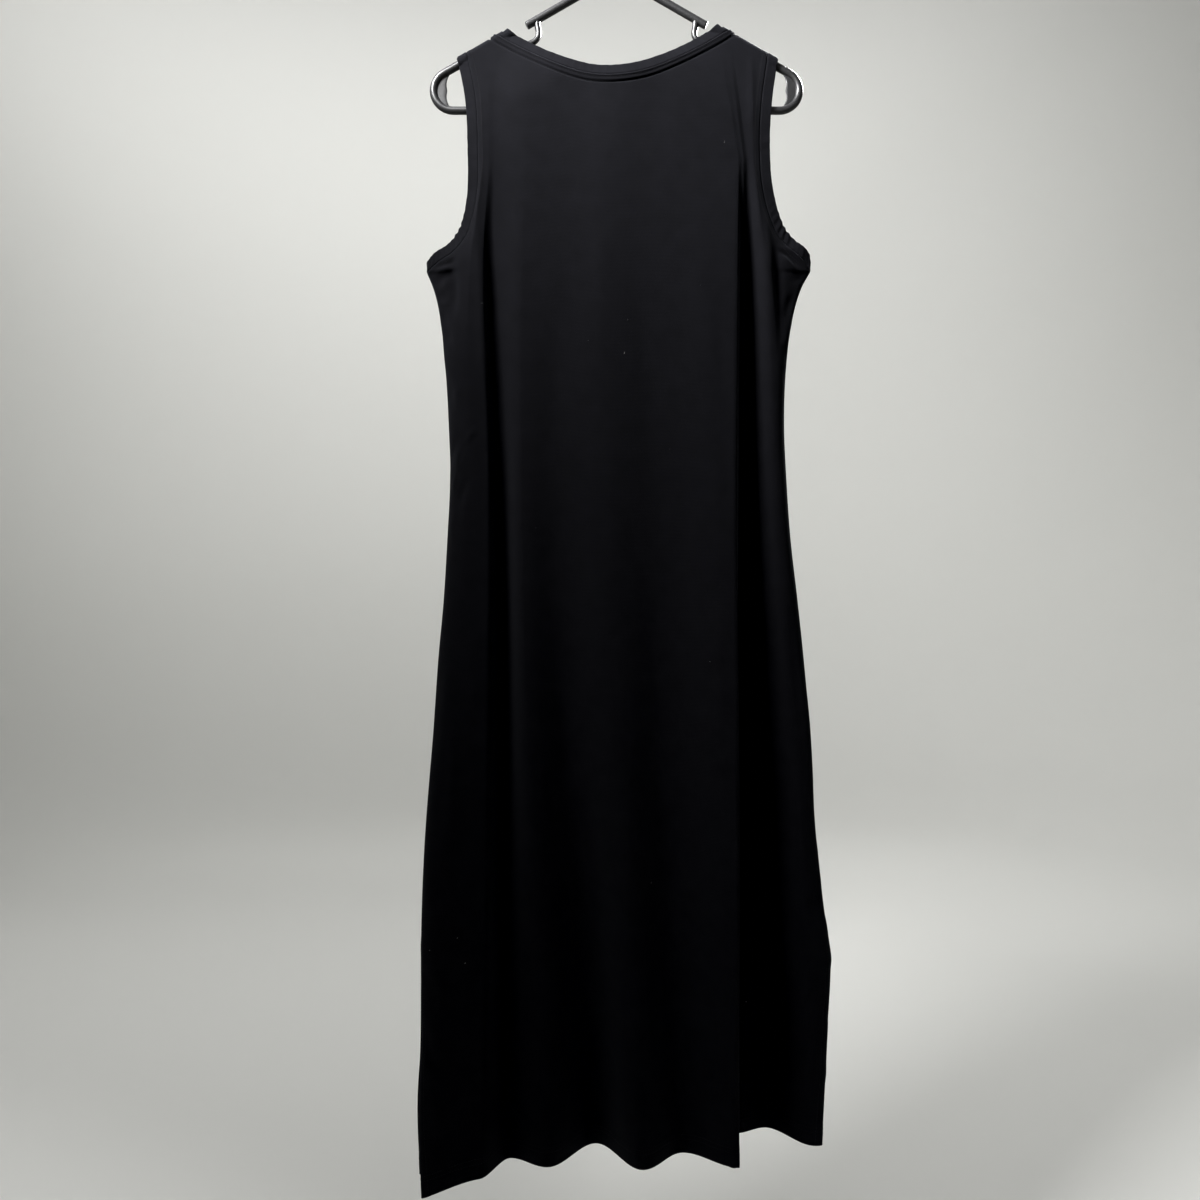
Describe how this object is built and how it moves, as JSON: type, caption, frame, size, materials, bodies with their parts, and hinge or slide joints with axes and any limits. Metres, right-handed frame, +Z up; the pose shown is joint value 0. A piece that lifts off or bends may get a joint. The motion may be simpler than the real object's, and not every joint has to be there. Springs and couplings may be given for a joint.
{
  "type": "midi dress on a hanger",
  "caption": "Sleeveless jersey midi dress with round neck, bound armholes and side slits, hanging in folds on a tubular hanger.",
  "frame": {"origin": "inside top of the hanger's hook, where it bears on a rod", "axes": "+Z up; -Y the side of the garment's back, which the picture shows; +Y the side of its front; +X the wearer's right"},
  "size_m": [0.4617, 0.118, 1.4259],
  "materials": {
    "jersey": "matte black single jersey knit",
    "jersey_band": "matte black folded jersey binding",
    "hanger_plastic": "smooth moulded black plastic"
  },
  "bodies": {
    "root": {"dress_back": "jersey", "dress_front": "jersey", "neckband": "jersey_band", "armhole_band_left": "jersey_band", "armhole_band_right": "jersey_band", "hanger_hook": "hanger_plastic", "hanger_top_bar": "hanger_plastic", "hanger_bottom_bar": "hanger_plastic", "hanger_shoulder_left": "hanger_plastic", "hanger_shoulder_right": "hanger_plastic", "hanger_link_left": "hanger_plastic", "hanger_link_right": "hanger_plastic", "hanger_web_left": "hanger_plastic", "hanger_web_right": "hanger_plastic"}
  },
  "joints": []
}
